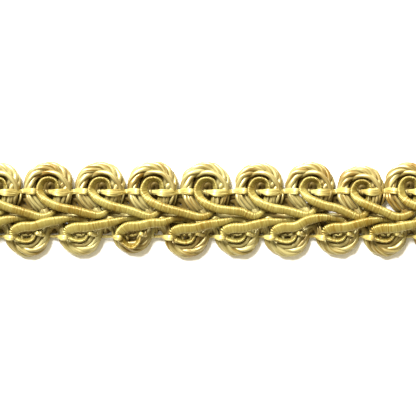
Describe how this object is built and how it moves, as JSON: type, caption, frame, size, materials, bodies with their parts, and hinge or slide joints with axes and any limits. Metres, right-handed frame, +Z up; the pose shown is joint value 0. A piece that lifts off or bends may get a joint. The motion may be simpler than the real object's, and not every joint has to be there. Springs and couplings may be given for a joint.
{
  "type": "braid trim",
  "caption": "Cut length of scroll gimp braid: satin cord scrolling through two rows of twisted yarn loops, held by flat binding threads.",
  "frame": {"origin": "on the surface the trim lies on, under the middle of its length and width", "axes": "+X along the trim in the direction its cords sweep, +Y across it towards the row of rounder loops, +Z up out of its face"},
  "size_m": [0.0676, 0.0126, 0.0033],
  "materials": {
    "gimp_satin": "satin rayon wrap over a cotton core, pale gold",
    "loop_floss": "glossy twisted rayon floss, gold",
    "binding_floss": "glossy flat rayon floss, pale gold"
  },
  "bodies": {
    "root": {"upper_gimp_cord": "gimp_satin", "lower_gimp_cord": "gimp_satin", "upper_loop_yarn": "loop_floss", "lower_loop_yarn": "loop_floss", "upper_binding_thread": "binding_floss", "lower_binding_thread": "binding_floss", "centre_binding_thread": "binding_floss"}
  },
  "joints": []
}
